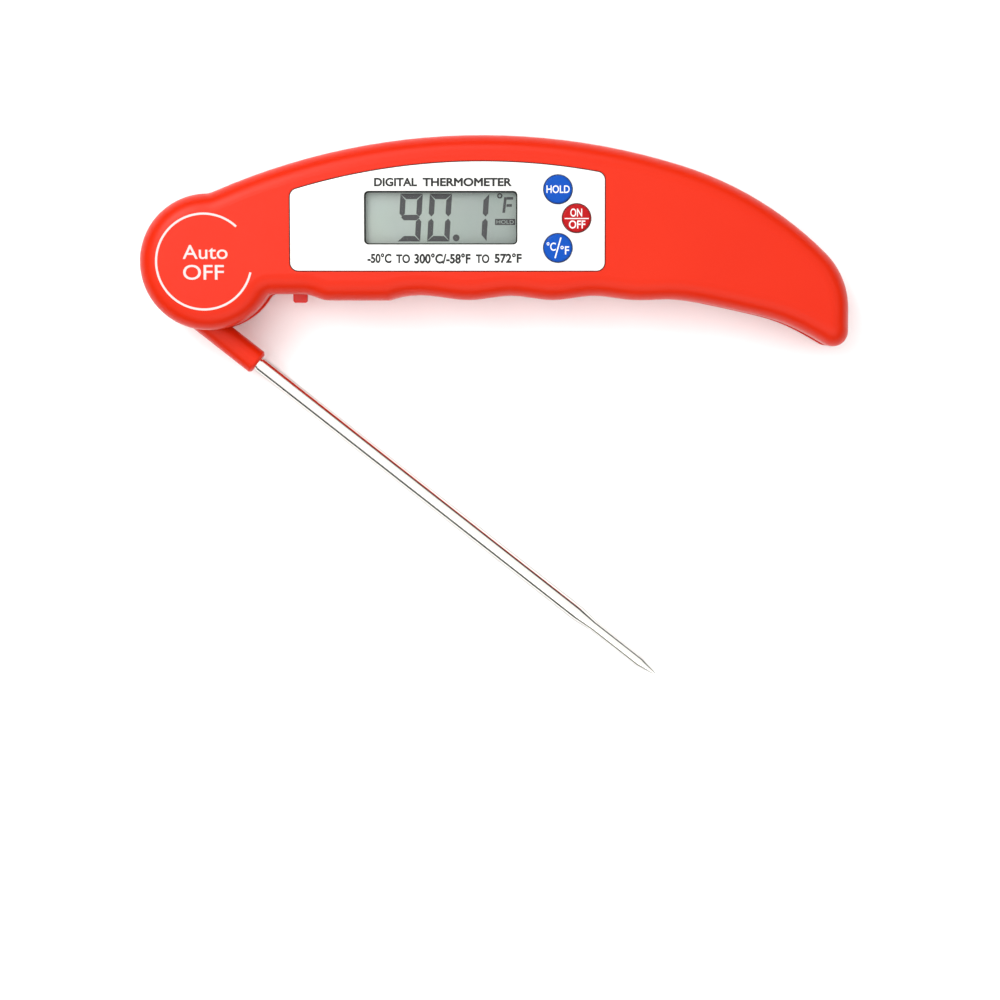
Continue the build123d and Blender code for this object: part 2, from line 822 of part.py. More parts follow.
over = front_inside - lead_r - 0.3
lead_end = (24.5, 6.0)
with BuildPart() as sensor_lead:
    with BuildLine() as sensor_route:
        FilletPolyline(
            (0, 0, lead_join),
            (0, 0, over),
            (*lead_end, over),
            (*lead_end, board_top),
            radius=(2.2, 2.2),
        )
    with BuildSketch(Plane(origin=sensor_route.line @ 0, z_dir=sensor_route.line % 0)):
        Circle(lead_r)
    sweep()
save("sensor_lead", sensor_lead.part)
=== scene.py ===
import json
import math

import bpy
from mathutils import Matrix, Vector

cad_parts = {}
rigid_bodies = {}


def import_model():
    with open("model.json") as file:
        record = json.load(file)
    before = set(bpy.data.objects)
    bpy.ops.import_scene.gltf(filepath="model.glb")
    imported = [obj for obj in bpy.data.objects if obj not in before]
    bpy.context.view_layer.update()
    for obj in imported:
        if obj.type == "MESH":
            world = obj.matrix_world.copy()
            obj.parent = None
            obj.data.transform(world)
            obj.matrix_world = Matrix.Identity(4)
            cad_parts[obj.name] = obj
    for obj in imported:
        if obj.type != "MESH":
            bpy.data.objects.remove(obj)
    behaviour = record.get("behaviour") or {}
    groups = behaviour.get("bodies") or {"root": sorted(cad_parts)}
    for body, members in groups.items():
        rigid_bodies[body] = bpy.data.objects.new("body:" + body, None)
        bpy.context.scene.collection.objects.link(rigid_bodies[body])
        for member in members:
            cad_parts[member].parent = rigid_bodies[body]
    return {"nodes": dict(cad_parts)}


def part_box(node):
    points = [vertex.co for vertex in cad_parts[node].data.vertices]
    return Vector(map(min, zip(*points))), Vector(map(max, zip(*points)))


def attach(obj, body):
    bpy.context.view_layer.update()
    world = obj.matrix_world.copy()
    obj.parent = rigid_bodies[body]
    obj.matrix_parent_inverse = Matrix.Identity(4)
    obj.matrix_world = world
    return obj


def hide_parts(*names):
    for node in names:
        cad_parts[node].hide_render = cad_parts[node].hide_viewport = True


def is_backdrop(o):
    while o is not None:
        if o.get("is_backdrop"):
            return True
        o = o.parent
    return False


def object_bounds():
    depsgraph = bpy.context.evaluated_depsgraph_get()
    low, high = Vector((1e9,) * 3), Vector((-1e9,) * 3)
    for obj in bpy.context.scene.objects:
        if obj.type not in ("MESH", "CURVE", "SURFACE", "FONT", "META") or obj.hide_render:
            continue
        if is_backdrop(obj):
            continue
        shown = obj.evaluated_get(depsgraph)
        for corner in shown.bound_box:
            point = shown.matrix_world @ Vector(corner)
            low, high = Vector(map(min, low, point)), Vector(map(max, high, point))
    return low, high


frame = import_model()
nodes = frame["nodes"]
cad_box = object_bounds()


# ---- Studio ----
# The thermometer lies on its flat back on a white table top, in a white tent. The main
# soft light stands at the upper left. Weaker ones hang over the pivot end, beyond the
# arched edge, and in front. The table is lit past white, so its shadows stay faint.
scene = bpy.context.scene
scene.view_settings.view_transform = "Standard"


def linear(hex_colour):
    """An sRGB hex colour as the linear values that a shader takes."""
    values = [int(hex_colour[i : i + 2], 16) / 255 for i in (1, 3, 5)]
    values = [v / 12.92 if v <= 0.04045 else ((v + 0.055) / 1.055) ** 2.4 for v in values]
    return (*values, 1.0)


def add_node(tree, kind, values=None, links=None, **settings):
    """Adds a node, sets its properties and plain values, and links its inputs."""
    node = tree.nodes.new(kind)
    for name, value in settings.items():
        setattr(node, name, value)
    for name, value in (values or {}).items():
        node.inputs[name].default_value = value
    for name, source in (links or {}).items():
        tree.links.new(source, node.inputs[name])
    return node


def new_finish(name, colour, **values):
    """A material with a plain colour and shader values. Returns it, its tree and its shader."""
    material = bpy.data.materials.new(name)
    material.use_nodes = True
    material.diffuse_color = linear(colour)
    tree = material.node_tree
    shader = tree.nodes["Principled BSDF"]
    shader.inputs["Base Color"].default_value = linear(colour)
    for key, value in values.items():
        shader.inputs[key.replace("_", " ")].default_value = value
    return material, tree, shader


def add_bump(tree, shader, pattern, strength, depth):
    """Links a pattern's height to the shader's normal, depth metres at full strength."""
    bump = add_node(
        tree,
        "ShaderNodeBump",
        {"Strength": strength, "Distance": depth},
        {"Height": pattern.outputs["Fac"]},
    )
    tree.links.new(bump.outputs["Normal"], shader.inputs["Normal"])


def add_softbox(name, place, size, power):
    """A rectangular soft light, size in metres and power in watts, aimed at the handle."""
    data = bpy.data.lights.new(name, "AREA")
    data.shape = "RECTANGLE"
    data.size, data.size_y = size
    data.energy = power
    lamp = bpy.data.objects.new(name, data)
    scene.collection.objects.link(lamp)
    lamp.location = place
    aim = Vector((0.064, -0.02, 0.01)) - Vector(place)
    lamp.rotation_euler = aim.to_track_quat("-Z", "Y").to_euler()


add_softbox("main_softbox", (-0.50, 0.50, 0.95), (0.50, 0.50), 5.0)
add_softbox("softbox_over_pivot", (-0.24, 0.16, 1.10), (0.50, 0.50), 2.0)
add_softbox("softbox_beyond", (-0.10, 0.50, 0.50), (0.60, 0.30), 1.3)
add_softbox("fill_in_front", (0.15, -0.60, 0.60), (0.9, 0.6), 1.6)

table_size = 3.0
table_gap = 0.0002
bpy.ops.object.select_all(action="DESELECT")
bpy.ops.mesh.primitive_plane_add(
    size=table_size, location=(0.06, -0.03, cad_box[0][2] - table_gap)
)
table = bpy.context.object
table.name = "table_top"
# sprayed lacquer board: an even white with a faint orange peel, about 3 mm across
lacquer, tree, shader = new_finish("sprayed_white_lacquer", "#FFFFFF", Roughness=0.6)
place = add_node(tree, "ShaderNodeTexCoord")
peel = add_node(tree, "ShaderNodeTexNoise", {"Scale": 1 / 0.003}, {"Vector": place.outputs["Object"]})
add_bump(tree, shader, peel, 0.02, 0.0001)
table.data.materials.append(lacquer)
table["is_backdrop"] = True

# the tent is white, but for a dark gap above the table, which gives metal and edges
# their contrast; the camera sees plain white behind the table
surround = bpy.data.worlds.new("white_studio")
scene.world = surround
surround.use_nodes = True
tree = surround.node_tree
place = add_node(tree, "ShaderNodeTexCoord")
height = add_node(tree, "ShaderNodeSeparateXYZ", None, {"Vector": place.outputs["Generated"]})
band = add_node(tree, "ShaderNodeValToRGB", None, {"Fac": height.outputs["Z"]})
band.color_ramp.elements[0].position = 0.42
band.color_ramp.elements[0].color = linear("#101010")
band.color_ramp.elements[1].position = 0.56
band.color_ramp.elements[1].color = linear("#FFFFFF")
tent = tree.nodes["Background"]
tree.links.new(band.outputs["Color"], tent.inputs["Color"])
tent.inputs["Strength"].default_value = 1.15
backdrop = add_node(tree, "ShaderNodeBackground", {"Color": linear("#FFFFFF"), "Strength": 1.0})
seen = add_node(tree, "ShaderNodeLightPath")
surround_mix = add_node(
    tree,
    "ShaderNodeMixShader",
    None,
    {0: seen.outputs["Is Camera Ray"], 1: tent.outputs[0], 2: backdrop.outputs[0]},
)
tree.links.new(surround_mix.outputs[0], tree.nodes["World Output"].inputs["Surface"])

# a long lens stands over the handle's face, 550 mm above it, and looks down almost
# square to it, tipped 5 degrees toward the probe's point
camera_data = bpy.data.cameras.new("camera")
camera_data.sensor_width = 36.0
camera_data.lens = 89.5
camera_data.clip_start = 0.01
camera = bpy.data.objects.new("camera", camera_data)
camera.location = (0.0651, -0.0078, 0.5694)
camera.rotation_euler = (-0.0814, 0.0006, 0)
scene.collection.objects.link(camera)
scene.camera = camera


# ---- Shells ----
# Two injection moulded halves in warm red ABS, screwed together from the back. The
# mould is finely eroded, so the skin is satin, with a grain just too fine to count.
red_abs, tree, shader = new_finish(
    "moulded_red_abs", "#D02404", Roughness=0.34, IOR=1.54, Specular_IOR_Level=0.16
)
place = add_node(tree, "ShaderNodeTexCoord")
# flow marks: slow, faint changes of shade, about 30 mm across
flow = add_node(
    tree,
    "ShaderNodeTexNoise",
    {"Scale": 1 / 0.030, "Detail": 2.0},
    {"Vector": place.outputs["Object"]},
)
shade = add_node(tree, "ShaderNodeMix", None, {"Factor": flow.outputs["Fac"]}, data_type="RGBA")
shade.inputs["A"].default_value = linear("#CC2103")
shade.inputs["B"].default_value = linear("#D42806")
tree.links.new(shade.outputs["Result"], shader.inputs["Base Color"])
# handling leaves the gloss a little uneven, about 6 mm across
wear = add_node(
    tree,
    "ShaderNodeTexNoise",
    {"Scale": 1 / 0.006, "Detail": 4.0},
    {"Vector": place.outputs["Object"]},
)
gloss = add_node(
    tree,
    "ShaderNodeMapRange",
    {"To Min": 0.28, "To Max": 0.40},
    {"Value": wear.outputs["Fac"]},
)
tree.links.new(gloss.outputs["Result"], shader.inputs["Roughness"])
# the eroded grain is about 0.05 mm; it is drawn at 0.25 mm so that it shows
grain = add_node(
    tree,
    "ShaderNodeTexNoise",
    {"Scale": 1 / 0.00025, "Detail": 2.0},
    {"Vector": place.outputs["Object"]},
)
add_bump(tree, shader, grain, 0.10, 0.00002)


def paint(finish, *names):
    """Gives CAD nodes their finish."""
    for name in names:
        mesh = nodes[name].data
        mesh.materials.clear()
        mesh.materials.append(finish)


paint(red_abs, "front_shell", "rear_shell")


# ---- Print on the round end ----
# A broken white ring and two words, pad printed straight on the shell, that mark
# the pivot as the place where folding the probe switches the thermometer off.
face_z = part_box("front_shell")[1][2]
print_x = -0.0004
ink_t = 0.00002
ring_r = 0.0105
ring_line = 0.00048
ring_from = math.radians(47)
ring_turn = math.radians(-300)
white_ink, tree, shader = new_finish("white_pad_print", "#D0C4C2", Roughness=0.42)
place = add_node(tree, "ShaderNodeTexCoord")
# thin ink lets a little of the red through in specks, about 0.3 mm across
speck = add_node(
    tree,
    "ShaderNodeTexNoise",
    {"Scale": 1 / 0.0003, "Detail": 3.0},
    {"Vector": place.outputs["Object"]},
)
cover = add_node(
    tree,
    "ShaderNodeMapRange",
    {"From Min": 0.3, "From Max": 0.7, "To Min": 0.0, "To Max": 0.35},
    {"Value": speck.outputs["Fac"]},
)
shade = add_node(tree, "ShaderNodeMix", None, {"Factor": cover.outputs["Result"]}, data_type="RGBA")
shade.inputs["A"].default_value = linear("#D2C8C6")
shade.inputs["B"].default_value = linear("#CBB4AF")
tree.links.new(shade.outputs["Result"], shader.inputs["Base Color"])


def add_piece(name, finish, body):
    """Names the active object, gives it its finish, and lets it ride on a body."""
    piece = bpy.context.object
    piece.name = name
    piece.data.name = name
    piece.data.materials.clear()
    piece.data.materials.append(finish)
    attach(piece, body)
    return piece


def start_plane(centre, size):
    """A flat rectangle with its place in its mesh, selected and alone."""
    bpy.ops.object.select_all(action="DESELECT")
    bpy.ops.mesh.primitive_plane_add(size=1.0, location=centre)
    bpy.context.object.scale = (size[0], size[1], 1)
    bpy.ops.object.transform_apply(location=True, rotation=True, scale=True)


def thicken(thickness):
    """Makes the active flat piece a closed sheet that stands on its own plane."""
    solidify = bpy.context.object.modifiers.new("thickness", "SOLIDIFY")
    solidify.thickness = thickness
    solidify.offset = 1.0
    bpy.ops.object.modifier_apply(modifier=solidify.name)


bpy.ops.object.select_all(action="DESELECT")
bpy.ops.mesh.primitive_plane_add(size=1.0, rotation=(math.pi / 2, 0, 0))
bpy.context.object.scale = (ring_line, ink_t * 2, 1)
bpy.ops.object.transform_apply(location=True, rotation=True, scale=True)
bpy.context.object.location = (
    print_x + ring_r * math.cos(ring_from),
    ring_r * math.sin(ring_from),
    face_z,
)
bpy.context.object.rotation_euler = (0, 0, ring_from)
bpy.ops.object.transform_apply(location=True, rotation=True, scale=True)
bpy.ops.object.mode_set(mode="EDIT")
bpy.ops.mesh.select_all(action="SELECT")
bpy.ops.mesh.spin(steps=120, angle=ring_turn, center=(print_x, 0, face_z), axis=(0, 0, 1))
bpy.ops.mesh.select_all(action="SELECT")
bpy.ops.mesh.remove_doubles(threshold=1e-7)
bpy.ops.mesh.normals_make_consistent(inside=False)
bpy.ops.object.mode_set(mode="OBJECT")
add_piece("printed_ring", white_ink, "handle")


def print_text(name, words, centre, size, top, finish, body, weight=0.0):
    """Flat printed words: centre and size are in the face's plane, top is its height."""
    bpy.ops.object.select_all(action="DESELECT")
    bpy.ops.object.text_add()
    text = bpy.context.object
    text.data.body = words
    text.data.size = 1.0
    text.data.bevel_depth = weight
    text.data.extrude = 0.01
    text.data.resolution_u = 5
    bpy.ops.object.convert(target="MESH")
    text = bpy.context.object
    text.scale = (
        size[0] / text.dimensions.x,
        size[1] / text.dimensions.y,
        ink_t * 2 / text.dimensions.z,
    )
    bpy.ops.object.transform_apply(location=True, rotation=True, scale=True)
    corners = [Vector(corner) for corner in text.bound_box]
    middle = sum(corners, Vector()) / 8
    text.location = Vector((centre[0], centre[1], top)) - middle
    bpy.ops.object.transform_apply(location=True, rotation=True, scale=True)
    return add_piece(name, finish, body)


print_text(
    "word_auto", "Auto", (print_x + 0.0003, 0.0021), (0.0099, 0.0031), face_z, white_ink, "handle",
    weight=0.006,
)
print_text(
    "word_off", "OFF", (print_x - 0.0001, -0.00235), (0.0090, 0.0033), face_z, white_ink, "handle",
    weight=0.006,
)


# ---- Faceplate ----
# A white polycarbonate plate, die cut and bonded into a shallow recess, with its
# edges just broken. The title and the range are screen printed on it in black.
plate_low, plate_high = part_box("faceplate")


def ease(node, width, finish, body, segments=2, angle=35):
    """Replaces a CAD node by a copy of it whose sharp edges are rounded by width."""
    bpy.ops.object.select_all(action="DESELECT")
    copy = nodes[node].copy()
    copy.data = nodes[node].data.copy()
    copy.parent = None
    for key in list(copy.keys()):
        del copy[key]
    scene.collection.objects.link(copy)
    copy.select_set(True)
    bpy.context.view_layer.objects.active = copy
    bpy.ops.object.mode_set(mode="EDIT")
    bpy.ops.mesh.select_all(action="SELECT")
    bpy.ops.mesh.customdata_custom_splitnormals_clear()
    bpy.ops.mesh.remove_doubles(threshold=2e-6)
    bpy.ops.mesh.dissolve_limited(angle_limit=math.radians(0.5))
    bpy.ops.object.mode_set(mode="OBJECT")
    bevel = copy.modifiers.new("broken_edges", "BEVEL")
    bevel.width = width
    bevel.segments = segments
    bevel.limit_method = "ANGLE"
    bevel.angle_limit = math.radians(angle)
    bevel.harden_normals = False
    bpy.ops.object.modifier_apply(modifier=bevel.name)
    bpy.ops.object.shade_smooth_by_angle(angle=math.radians(angle))
    piece = add_piece(node + "_finished", finish, body)
    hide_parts(node)
    return piece


def plain_finish(name, colour, size, strength, **values):
    """A finish of one hue. Grain, size metres across, gives it bump and faint shading."""
    grain_depth = 0.00003
    material, tree, shader = new_finish(name, colour, **values)
    place = add_node(tree, "ShaderNodeTexCoord")
    noise = add_node(
        tree,
        "ShaderNodeTexNoise",
        {"Scale": 1 / size, "Detail": 3.0},
        {"Vector": place.outputs["Object"]},
    )
    shade = add_node(
        tree,
        "ShaderNodeMix",
        {"Factor": 0.12, "A": linear(colour)},
        {"B": noise.outputs["Fac"]},
        data_type="RGBA",
        blend_type="MULTIPLY",
    )
    tree.links.new(shade.outputs["Result"], shader.inputs["Base Color"])
    add_bump(tree, shader, noise, strength, grain_depth)
    return material


plate_white, tree, shader = new_finish("satin_white_polycarbonate", "#E6E6E3", Roughness=0.38, IOR=1.58)
place = add_node(tree, "ShaderNodeTexCoord")
# a matt overlay film, whose texture of about 0.15 mm is drawn at 0.3 mm
overlay = add_node(
    tree,
    "ShaderNodeTexNoise",
    {"Scale": 1 / 0.0003, "Detail": 2.0},
    {"Vector": place.outputs["Object"]},
)
add_bump(tree, shader, overlay, 0.06, 0.00002)
ease("faceplate", 0.00012, plate_white, "handle")

# a black band in the gap round the plate is painted shade, a thin dark line that stands in for the
# shadow in the gap. It is a band cut from the plate's outer wall, made thick; the walls of the window
# and key holes are deleted
painted_shade_width = 0.00016
painted_shade_rise = 0.00035
bpy.ops.object.select_all(action="DESELECT")
painted_shade_band = bpy.data.objects.new("plate_edge_painted_shade", nodes["faceplate"].data.copy())
scene.collection.objects.link(painted_shade_band)
painted_shade_band.select_set(True)
bpy.context.view_layer.objects.active = painted_shade_band
bpy.ops.object.mode_set(mode="EDIT")
bpy.ops.mesh.select_all(action="SELECT")
bpy.ops.mesh.customdata_custom_splitnormals_clear()
bpy.ops.mesh.remove_doubles(threshold=2e-6)
bpy.ops.mesh.bisect(
    plane_co=(0, 0, plate_low[2] + painted_shade_rise), plane_no=(0, 0, 1), clear_outer=True
)
bpy.ops.mesh.select_all(action="SELECT")
bpy.ops.mesh.bisect(
    plane_co=(0, 0, plate_low[2] + ink_t), plane_no=(0, 0, 1), clear_inner=True
)
bpy.ops.mesh.select_all(action="DESELECT")
bpy.ops.object.mode_set(mode="OBJECT")
min(painted_shade_band.data.vertices, key=lambda v: v.co.x).select = True
bpy.ops.object.mode_set(mode="EDIT")
bpy.ops.mesh.select_linked()
bpy.ops.mesh.select_all(action="INVERT")
bpy.ops.mesh.delete(type="VERT")
bpy.ops.object.mode_set(mode="OBJECT")
thicken(painted_shade_width)
# painted shade: a black band that stands in for the shadow in the gap round the plate
painted_shade_black = plain_finish("painted_shade_plate_edge", "#120C0B", 0.0003, 0.2, Roughness=0.9)
add_piece("plate_edge_painted_shade", painted_shade_black, "handle")

black_ink = plain_finish("black_screen_print", "#0A0A0B", 0.0002, 0.15, Roughness=0.6)
plate_z = plate_high[2]
printed_words = [
    ("title_1", "DIGITAL", 0.04185, 0.01738, 0.00945, 0.0019),
    ("title_2", "THERMOMETER", 0.05760, 0.01738, 0.01965, 0.0019),
    ("range_1", "-50°C", 0.03825, 0.00075, 0.0053, 0.0022),
    ("range_2", "TO", 0.04345, 0.00062, 0.0031, 0.0020),
    ("range_3", "300°C/-58°F", 0.05210, 0.00068, 0.0124, 0.0023),
    ("range_4", "TO", 0.06095, 0.00062, 0.0030, 0.0020),
    ("range_5", "572°F", 0.06655, 0.00075, 0.0060, 0.0022),
]
for name, words, x, y, w, h in printed_words:
    print_text(
        name, words, (x, y), (w, h), plate_z, black_ink, "handle", weight=0.040
    )


# ---- Display ----
# A reflective liquid crystal panel behind a clear acrylic window. A thin black ring round it is painted
# shade, the dark line of shade at the window's edge, and the dark segments stand on its glass.
window_low, window_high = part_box("display_window")
lcd_low, lcd_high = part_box("lcd_panel")
lcd_z = lcd_high[2]
window_mid = (Vector(window_low) + Vector(window_high)) / 2
opening = (0.0337, 0.0117)
corner_r = 0.0010
shade_ring_width = 0.00028
shade_ring_drop = 0.0001
shade_ring_thickness = 0.00008

lcd_grey, tree, shader = new_finish("lcd_reflective_film", "#8A958E", Roughness=0.45, IOR=1.5)
place = add_node(tree, "ShaderNodeTexCoord")
# the panel's colour is a shade darker towards the right, over its length
across = add_node(tree, "ShaderNodeSeparateXYZ", None, {"Vector": place.outputs["Object"]})
fade = add_node(
    tree,
    "ShaderNodeMapRange",
    {"From Min": lcd_low[0], "From Max": lcd_high[0]},
    {"Value": across.outputs["X"]},
)
cloud = add_node(
    tree,
    "ShaderNodeTexNoise",
    {"Scale": 1 / 0.008, "Detail": 2.0},
    {"Vector": place.outputs["Object"]},
)
shade = add_node(tree, "ShaderNodeMix", None, {"Factor": fade.outputs["Result"]}, data_type="RGBA")
shade.inputs["A"].default_value = linear("#96A199")
shade.inputs["B"].default_value = linear("#7C8781")
mottle = add_node(
    tree,
    "ShaderNodeMix",
    {"Factor": 0.08},
    {"A": shade.outputs["Result"], "B": cloud.outputs["Color"]},
    data_type="RGBA",
    blend_type="MULTIPLY",
)
tree.links.new(mottle.outputs["Result"], shader.inputs["Base Color"])
paint(lcd_grey, "lcd_panel")

# painted shade: a thin black ring under the window's edge stands in for the shade there
painted_shade_ring_black = plain_finish("painted_window_edge_shade", "#0E1112", 0.0002, 0.2, Roughness=0.8)
start_plane((window_mid.x, window_mid.y, window_low[2] - shade_ring_drop), opening)
bpy.ops.object.mode_set(mode="EDIT")
bpy.ops.mesh.select_all(action="SELECT")
bpy.ops.mesh.bevel(affect="VERTICES", offset=corner_r, segments=6)
bpy.ops.mesh.select_all(action="SELECT")
bpy.ops.mesh.inset(thickness=shade_ring_width)
bpy.ops.mesh.delete(type="FACE")
bpy.ops.object.mode_set(mode="OBJECT")
thicken(shade_ring_thickness)
add_piece("window_painted_shade_ring", painted_shade_ring_black, "handle")

acrylic, tree, shader = new_finish(
    "clear_cast_acrylic", "#FFFFFF", Roughness=0.06, Alpha=0.01, Specular_IOR_Level=0.35
)
place = add_node(tree, "ShaderNodeTexCoord")
# wiping leaves faint hairlines, about 0.4 mm apart
hair = add_node(
    tree,
    "ShaderNodeTexNoise",
    {"Scale": 1 / 0.0004, "Detail": 1.0},
    {"Vector": place.outputs["Object"]},
)
add_bump(tree, shader, hair, 0.02, 0.00001)
paint(acrylic, "display_window")

segment_black = plain_finish("lcd_segment_dark", "#1C1E20", 0.0005, 0.05, Roughness=0.5)
lean = math.tan(math.radians(3.4))
digit_h = 0.01065
digit_w = 0.0051
bar_w = 0.00138
bar_gap = 0.00018
digit_y = 0.0097
mitre = bar_w * 0.94
# each bar's middle in the digit, its size, and the corners cut off it, as
# (right, top, length of the cut); the outer corners of a digit stay square
side_x = (digit_w - bar_w) / 2
side_y = digit_h / 4
side_h = digit_h / 2 - 0.0003
point = bar_w * 0.46
bars = {
    "top": ((0, (digit_h - bar_w) / 2), (digit_w, bar_w), [(0, 0, mitre), (1, 0, mitre)]),
    "bottom": ((0, (bar_w - digit_h) / 2), (digit_w, bar_w), [(0, 1, mitre), (1, 1, mitre)]),
    "middle": (
        (0, 0), (digit_w - 0.6 * bar_w, bar_w),
        [(0, 0, point), (1, 0, point), (0, 1, point), (1, 1, point)],
    ),
    "left_up": (
        (-side_x, side_y), (bar_w, side_h), [(1, 1, mitre), (0, 0, point), (1, 0, point)],
    ),
    "right_up": (
        (side_x, side_y), (bar_w, side_h), [(0, 1, mitre), (0, 0, point), (1, 0, point)],
    ),
    "left_low": (
        (-side_x, -side_y), (bar_w, side_h), [(1, 0, mitre), (0, 1, point), (1, 1, point)],
    ),
    "right_low": (
        (side_x, -side_y), (bar_w, side_h), [(0, 0, mitre), (0, 1, point), (1, 1, point)],
    ),
}
shown = {
    "9": ("top", "middle", "left_up", "right_up", "right_low", "bottom"),
    "0": ("top", "left_up", "right_up", "left_low", "right_low", "bottom"),
    "1": ("right_up", "right_low"),
}


def cut_corner(right, top, length):
    """Cuts one corner off the flat rectangle that is in edit mode."""
    bpy.ops.mesh.select_all(action="DESELECT")
    bpy.ops.object.mode_set(mode="OBJECT")
    vertices = bpy.context.object.data.vertices
    way = Vector((1 if right else -1, 1 if top else -1, 0))
    corner = max(vertices, key=lambda v: v.co.dot(way))
    corner.select = True
    bpy.ops.object.mode_set(mode="EDIT")
    bpy.ops.mesh.bevel(affect="VERTICES", offset=length, segments=1)


def add_digit(name, digit, x):
    """One leaning seven segment digit, printed dark on the panel's glass."""
    made = []
    for bar in shown[digit]:
        (bar_x, bar_y), size, cuts = bars[bar]
        start_plane((x + bar_x, digit_y + bar_y, lcd_z), (size[0] - bar_gap, size[1] - bar_gap))
        bpy.ops.object.mode_set(mode="EDIT")
        for cut in cuts:
            cut_corner(*cut)
        bpy.ops.object.mode_set(mode="OBJECT")
        made.append(bpy.context.object)
    for piece in made:
        piece.select_set(True)
    bpy.ops.object.join()
    for vertex in bpy.context.object.data.vertices:
        vertex.co.x += (vertex.co.y - digit_y) * lean
    thicken(ink_t)
    return add_piece(name, segment_black, "handle")


add_digit("digit_tens", "9", 0.04500)
add_digit("digit_ones", "0", 0.05145)
add_digit("digit_tenths", "1", 0.05965)

bpy.ops.object.select_all(action="DESELECT")
bpy.ops.mesh.primitive_cylinder_add(
    vertices=24, radius=0.00075, depth=ink_t, location=(0.05510, 0.00525, lcd_z + ink_t / 2)
)
bpy.ops.object.transform_apply(location=True, rotation=True, scale=True)
add_piece("decimal_point", segment_black, "handle")

bpy.ops.object.select_all(action="DESELECT")
bpy.ops.mesh.primitive_torus_add(
    major_radius=0.00044, minor_radius=0.00016, major_segments=24, minor_segments=6,
    location=(0.06472, 0.01446, lcd_z),
)
bpy.ops.object.transform_apply(location=True, rotation=True, scale=True)
add_piece("degree_sign", segment_black, "handle")

# the small F is drawn with three thin bars, in the same lean
small = 0.0006
start_plane((0.06578, 0.01245, lcd_z), (small, 0.0034))
f_bars = [bpy.context.object]
for f_x, f_y, f_w in ((0.06680, 0.01391, 0.0014), (0.06680, 0.01235, 0.0012)):
    start_plane((f_x, f_y, lcd_z), (f_w, small))
    f_bars.append(bpy.context.object)
for bar in f_bars:
    bar.select_set(True)
bpy.ops.object.join()
for vertex in bpy.context.object.data.vertices:
    vertex.co.x += (vertex.co.y - 0.01245) * lean * 2
thicken(ink_t)
add_piece("letter_f", segment_black, "handle")

start_plane((0.06590, 0.00874, lcd_z), (0.00445, 0.00135))
thicken(ink_t)
lcd_deep = plain_finish("lcd_segment_deep", "#101314", 0.0005, 0.05, Roughness=0.5)
add_piece("hold_box", lcd_deep, "handle")
lcd_light = plain_finish("lcd_clear_letter", "#7F8A84", 0.0005, 0.05, Roughness=0.5)
print_text(
    "word_hold_small", "HOLD", (0.06590, 0.00874), (0.0038, 0.0008), lcd_z + ink_t, lcd_light,
    "handle",
)


# ---- Keys ----
# Three round moulded caps that stand just proud of the plate, glossy, with their
# legends printed on in white. Each presses a small switch on the board.
def key_finish(name, colour, deep):
    """A glossy moulded cap, between two close shades of its colour."""
    material, tree, shader = new_finish(
        name, colour, Roughness=0.28, IOR=1.54, Specular_IOR_Level=0.12
    )
    place = add_node(tree, "ShaderNodeTexCoord")
    # fingers dull the middle of a cap unevenly, about 1.5 mm across
    touch = add_node(
        tree,
        "ShaderNodeTexNoise",
        {"Scale": 1 / 0.0015, "Detail": 3.0},
        {"Vector": place.outputs["Object"]},
    )
    shade = add_node(tree, "ShaderNodeMix", None, {"Factor": touch.outputs["Fac"]}, data_type="RGBA")
    shade.inputs["A"].default_value = linear(colour)
    shade.inputs["B"].default_value = linear(deep)
    tree.links.new(shade.outputs["Result"], shader.inputs["Base Color"])
    gloss = add_node(
        tree,
        "ShaderNodeMapRange",
        {"To Min": 0.22, "To Max": 0.36},
        {"Value": touch.outputs["Fac"]},
    )
    tree.links.new(gloss.outputs["Result"], shader.inputs["Roughness"])
    return material


key_blue = key_finish("moulded_blue_key", "#014CAE", "#0144A2")
key_red = key_finish("moulded_crimson_key", "#AE0A10", "#A2070C")
key_ink = plain_finish("white_key_print", "#E6E6E6", 0.0002, 0.1, Roughness=0.4)
keys = {
    "hold_key": ("hold_button", "key_blue", key_blue),
    "power_key": ("power_button", "key_red", key_red),
    "units_key": ("units_button", "key_blue", key_blue),
}
legends = {
    "hold_key": [("HOLD", 0.0, 0.0, 0.0051, 0.0017)],
    "power_key": [("ON", -0.0001, 0.0012, 0.0026, 0.00180), ("OFF", 0.0001, -0.0014, 0.0036, 0.00180)],
    "units_key": [("°C", -0.00146, 0.0003, 0.0020, 0.0019), ("°F", 0.0015, -0.0005, 0.0019, 0.0019)],
}
lines = {"power_key": (0, -0.0001, 0.0053, 0.00022, 0), "units_key": (0, 0, 0.0047, 0.0003, 74)}
for key, (body, slot, finish) in keys.items():
    cap = ease(key, 0.00008, finish, body, angle=50)
    key_low, key_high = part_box(key)
    key_x = (key_low[0] + key_high[0]) / 2
    key_y = (key_low[1] + key_high[1]) / 2
    top = key_high[2] - ink_t
    # the cap's top is sunk by the ink's thickness, so the print ends at full height
    for vertex in cap.data.vertices:
        vertex.co.z = min(vertex.co.z, top)
    for count, (words, x, y, w, h) in enumerate(legends[key]):
        print_text(
            f"{key}_legend_{count + 1}", words, (key_x + x, key_y + y), (w, h), top, key_ink,
            body, weight=0.016,
        )
    if key in lines:
        x, y, length, line, turn = lines[key]
        start_plane((0, 0, 0), (length, line))
        thicken(ink_t)
        bar = bpy.context.object
        bar.rotation_euler = (0, 0, math.radians(turn))
        bar.location = (key_x + x, key_y + y, top)
        bpy.ops.object.transform_apply(location=True, rotation=True, scale=True)
        add_piece(f"{key}_line", key_ink, body)


# ---- Auto-off plunger ----
# A small pin of red acetal that stands out of the lower edge. The folded
# probe's barrel presses it in, and it works a switch on the board.
acetal_red, tree, shader = new_finish("machined_red_acetal", "#D81E10", Roughness=0.42, IOR=1.48)
place = add_node(tree, "ShaderNodeTexCoord")
